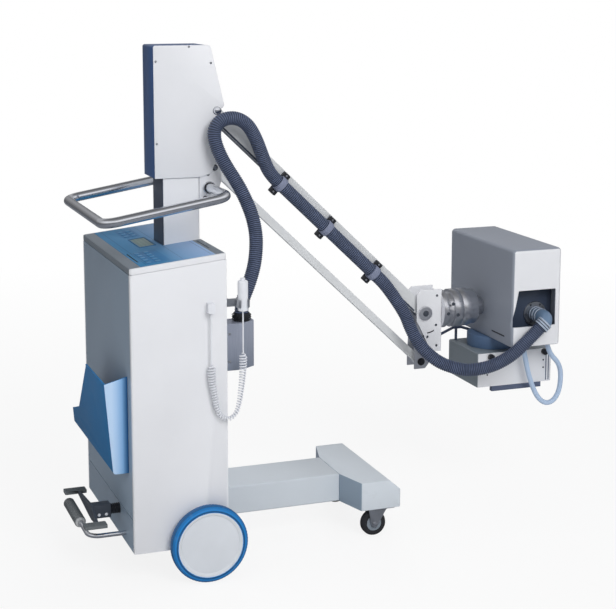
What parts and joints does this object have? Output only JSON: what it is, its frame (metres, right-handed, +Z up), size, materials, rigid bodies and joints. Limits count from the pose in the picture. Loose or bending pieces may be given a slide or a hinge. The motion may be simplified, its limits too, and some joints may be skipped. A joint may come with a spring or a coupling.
{
  "type": "mobile x-ray machine",
  "caption": "Mobile x-ray machine with a wheeled cabinet, short mast and a parallelogram arm that carries the tube head and collimator.",
  "frame": {"origin": "on the floor, under the middle of the bounding box of the machine without its free cords", "axes": "+X forward, the way the arm reaches; +Y to the machine's left; +Z up"},
  "size_m": [1.399, 0.626, 1.34],
  "materials": {
    "white_panel": "satin white paint",
    "slate_panel": "satin slate paint",
    "head_white": "satin white cover",
    "cast_white": "painted casting",
    "blue_cover": "satin blue paint",
    "steel": "plain steel",
    "cast": "dark block",
    "deck": "moulded",
    "overlay": "printed membrane",
    "lcd": "display",
    "chrome": "polished",
    "box_blue": "moulded blue",
    "rubber": "black",
    "tyre_blue": "blue tread",
    "dark_plastic": "black",
    "hose": "corrugated",
    "cord_white": "white sheath",
    "cable_blue": "light blue sheath",
    "glass": "clear",
    "elbow": "steel blue"
  },
  "bodies": {
    "cart": {"cabinet_sides": "white_panel", "cabinet_rear_upper": "slate_panel", "cabinet_rear_lower": "slate_panel", "cabinet_front": "white_panel", "chassis": "steel", "rear_axle": "steel", "power_unit": "cast", "top_deck": "deck", "control_panel": "overlay", "display": "lcd", "mast": "white_panel", "mast_head": "white_panel", "cover_sides": "white_panel", "cover_wrap": "blue_cover", "handle": "chrome", "handle_flanges": "chrome", "cassette_box": "box_blue", "base_beam": "white_panel", "base_crossbar": "cast_white", "caster_plates": "steel", "brake_rocker": "dark_plastic", "foot_bar": "chrome", "foot_grip": "rubber", "hose_holder": "steel", "cable_glands": "dark_plastic", "hand_switch": "dark_plastic", "switch_clip": "dark_plastic", "hose_riser": "hose", "curly_cord": "cord_white", "curly_leads": "cord_white"},
    "wheel_right": {"rear_tyre_right": "tyre_blue", "rear_hub_right": "white_panel"},
    "wheel_left": {"rear_tyre_left": "tyre_blue", "rear_hub_left": "white_panel"},
    "caster_right": {"caster_fork_right": "steel"},
    "caster_left": {"caster_fork_left": "steel"},
    "caster_roller_right": {"caster_wheel_right": "rubber"},
    "caster_roller_left": {"caster_wheel_left": "rubber"},
    "arm": {"upper_bar": "white_panel", "hose_clamps": "dark_plastic", "hose_run": "hose", "hose_drop_arm": "hose"},
    "lower_arm": {"lower_bar": "white_panel"},
    "arm_end": {"end_link": "white_panel", "hose_drop_link": "hose"},
    "swivel": {"tilt_bracket": "white_panel", "tilt_caps": "chrome", "roll_bearing": "steel"},
    "head": {"roll_hub": "steel", "head_housing": "head_white", "tube_block": "deck", "hose_elbow": "elbow", "collimator_body": "head_white", "collimator_window": "glass", "collimator_ring": "elbow", "collimator_rails": "dark_plastic", "collimator_handle": "dark_plastic", "collimator_knobs": "dark_plastic", "hose_drop_head": "hose", "head_cable": "cable_blue"}
  },
  "joints": [
    {"name": "wheel_right_spin", "type": "hinge", "parent": "cart", "child": "wheel_right", "pos_m": [-0.392, -0.297, 0.1], "axis": [0, 1, 0], "continuous": true},
    {"name": "wheel_left_spin", "type": "hinge", "parent": "cart", "child": "wheel_left", "pos_m": [-0.392, 0.297, 0.1], "axis": [0, 1, 0], "continuous": true},
    {"name": "caster_right_swivel", "type": "hinge", "parent": "cart", "child": "caster_right", "pos_m": [0.137, -0.14, 0.078], "axis": [0, 0, 1], "continuous": true},
    {"name": "caster_left_swivel", "type": "hinge", "parent": "cart", "child": "caster_left", "pos_m": [0.137, 0.14, 0.078], "axis": [0, 0, 1], "continuous": true},
    {"name": "caster_right_spin", "type": "hinge", "parent": "caster_right", "child": "caster_roller_right", "pos_m": [0.121, -0.14, 0.035], "axis": [0, 1, 0], "continuous": true},
    {"name": "caster_left_spin", "type": "hinge", "parent": "caster_left", "child": "caster_roller_left", "pos_m": [0.121, 0.14, 0.035], "axis": [0, 1, 0], "continuous": true},
    {"name": "arm_lift", "type": "hinge", "parent": "cart", "child": "arm", "pos_m": [-0.289, 0, 1.168], "axis": [0, 1, 0], "range_deg": [-65, 20], "deforming": ["hose_riser"]},
    {"name": "lower_bar_lift", "type": "hinge", "parent": "cart", "child": "lower_arm", "pos_m": [-0.297, 0, 1.028], "axis": [0, 1, 0], "range_deg": [-65, 20]},
    {"name": "arm_end_level", "type": "hinge", "parent": "arm", "child": "arm_end", "pos_m": [0.321, 0, 0.583], "axis": [0, 1, 0], "range_deg": [-20, 65], "deforming": ["hose_drop_arm"]},
    {"name": "head_tilt", "type": "hinge", "parent": "arm_end", "child": "swivel", "pos_m": [0.321, 0, 0.583], "axis": [0, 1, 0], "range_deg": [-20, 20], "deforming": ["hose_drop_link"]},
    {"name": "head_roll", "type": "hinge", "parent": "swivel", "child": "head", "pos_m": [0.432, 0, 0.586], "axis": [1, 0, 0], "range_deg": [-90, 90], "deforming": ["hose_drop_head"]}
  ],
  "couplings": [
    {"joint": "lower_bar_lift", "follows": "arm_lift", "ratio": 1},
    {"joint": "arm_end_level", "follows": "arm_lift", "ratio": -1}
  ]
}
